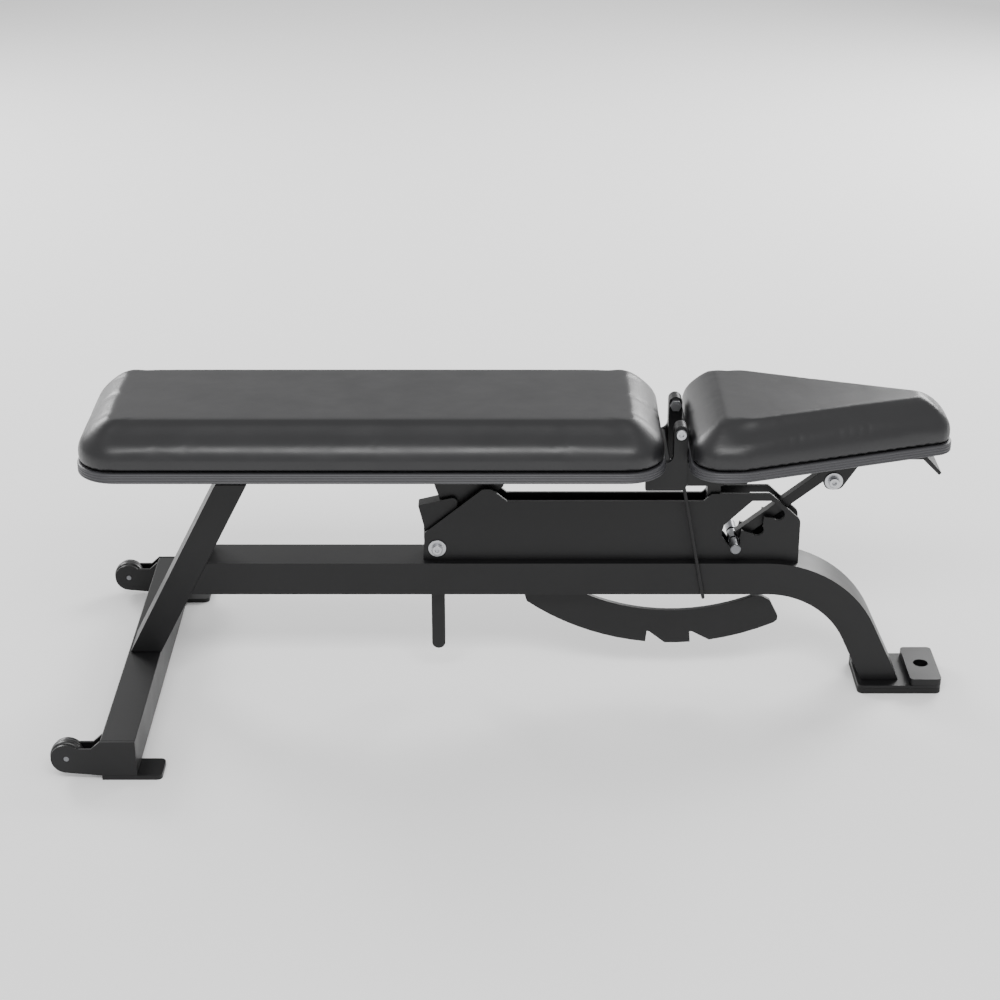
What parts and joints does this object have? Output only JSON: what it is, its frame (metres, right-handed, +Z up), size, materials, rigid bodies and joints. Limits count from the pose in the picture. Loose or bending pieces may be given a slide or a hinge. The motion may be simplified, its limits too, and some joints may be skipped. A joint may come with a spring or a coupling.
{
  "type": "adjustable weight bench",
  "caption": "Adjustable weight bench: long back pad and tapered seat on one hinge, notched sector with latch, seat prop in a ladder, bent tube frame with transport wheels.",
  "frame": {"origin": "on the floor under the middle of the bench's bounding box, on its mid-plane", "axes": "+X from the wheels to the front foot, +Y across the bench, +Z up"},
  "size_m": [1.326, 0.6, 0.4778],
  "materials": {
    "frame": "satin",
    "vinyl": "satin",
    "trim": "matte",
    "rubber": "matte",
    "steel": "satin",
    "zinc": "satin"
  },
  "bodies": {
    "base": {"base_hinge_plate_far": "frame", "base_hinge_plate_near": "frame", "channel_plate_far": "frame", "channel_plate_near": "frame", "front_foot_block": "frame", "front_foot_pad": "rubber", "front_foot_plate": "frame", "hinge_bolt_far": "zinc", "hinge_bolt_near": "zinc", "hinge_crossbar": "frame", "hinge_nut_far": "zinc", "hinge_nut_near": "zinc", "hinge_post": "frame", "latch_bolt": "zinc", "latch_nut": "zinc", "latch_washer_far": "zinc", "latch_washer_near": "zinc", "main_tube": "frame", "rear_foot_far": "frame", "rear_foot_near": "frame", "rear_stabiliser": "frame", "rear_strut": "frame", "stay_rod": "frame", "strut_bumper": "rubber", "wheel_axle_far": "steel", "wheel_axle_near": "steel", "wheel_cheek_inner_far": "frame", "wheel_cheek_inner_near": "frame", "wheel_cheek_outer_far": "frame", "wheel_cheek_outer_near": "frame"},
    "back": {"back_board": "trim", "back_crossbar": "frame", "back_cushion": "vinyl", "back_frame_tube": "frame", "back_hinge_plate_far": "frame", "back_hinge_plate_near": "frame", "sector_plate": "frame"},
    "seat": {"prop_bolt": "zinc", "prop_bracket_far": "frame", "prop_bracket_near": "frame", "prop_nut": "zinc", "prop_spacer_far": "zinc", "prop_spacer_near": "zinc", "prop_washer_far": "zinc", "prop_washer_near": "zinc", "seat_board": "trim", "seat_crossbar": "frame", "seat_cushion": "vinyl", "seat_hinge_plate_far": "frame", "seat_hinge_plate_near": "frame", "seat_plate": "frame"},
    "prop": {"prop_arm": "frame", "prop_pin": "steel", "prop_pin_near": "steel", "prop_pin_far": "steel"},
    "latch": {"latch_head": "frame", "latch_bar": "frame"},
    "wheel_near": {"wheel_near": "rubber"},
    "wheel_far": {"wheel_far": "rubber"}
  },
  "joints": [
    {"name": "back_tilt", "type": "hinge", "parent": "base", "child": "back", "pos_m": [0.2462, 0, 0.4416], "axis": [0, 1, 0], "range_deg": [0, 73.5]},
    {"name": "seat_tilt", "type": "hinge", "parent": "base", "child": "seat", "pos_m": [0.2462, 0, 0.4416], "axis": [0, -1, 0], "range_deg": [0, 21]},
    {"name": "prop_swing", "type": "hinge", "parent": "seat", "child": "prop", "pos_m": [0.476, 0, 0.356], "axis": [0, 1, 0], "range_deg": [0, 5]},
    {"name": "latch_release", "type": "hinge", "parent": "base", "child": "latch", "pos_m": [-0.112, 0, 0.2337], "axis": [0, -1, 0], "range_deg": [0, 12], "stiffness_Nm_per_rad": 2, "springref_deg": -11.46},
    {"name": "wheel_near_spin", "type": "hinge", "parent": "base", "child": "wheel_near", "pos_m": [-0.6383, -0.2875, 0.0344], "axis": [0, 1, 0], "continuous": true},
    {"name": "wheel_far_spin", "type": "hinge", "parent": "base", "child": "wheel_far", "pos_m": [-0.6383, 0.2875, 0.0344], "axis": [0, 1, 0], "continuous": true}
  ]
}
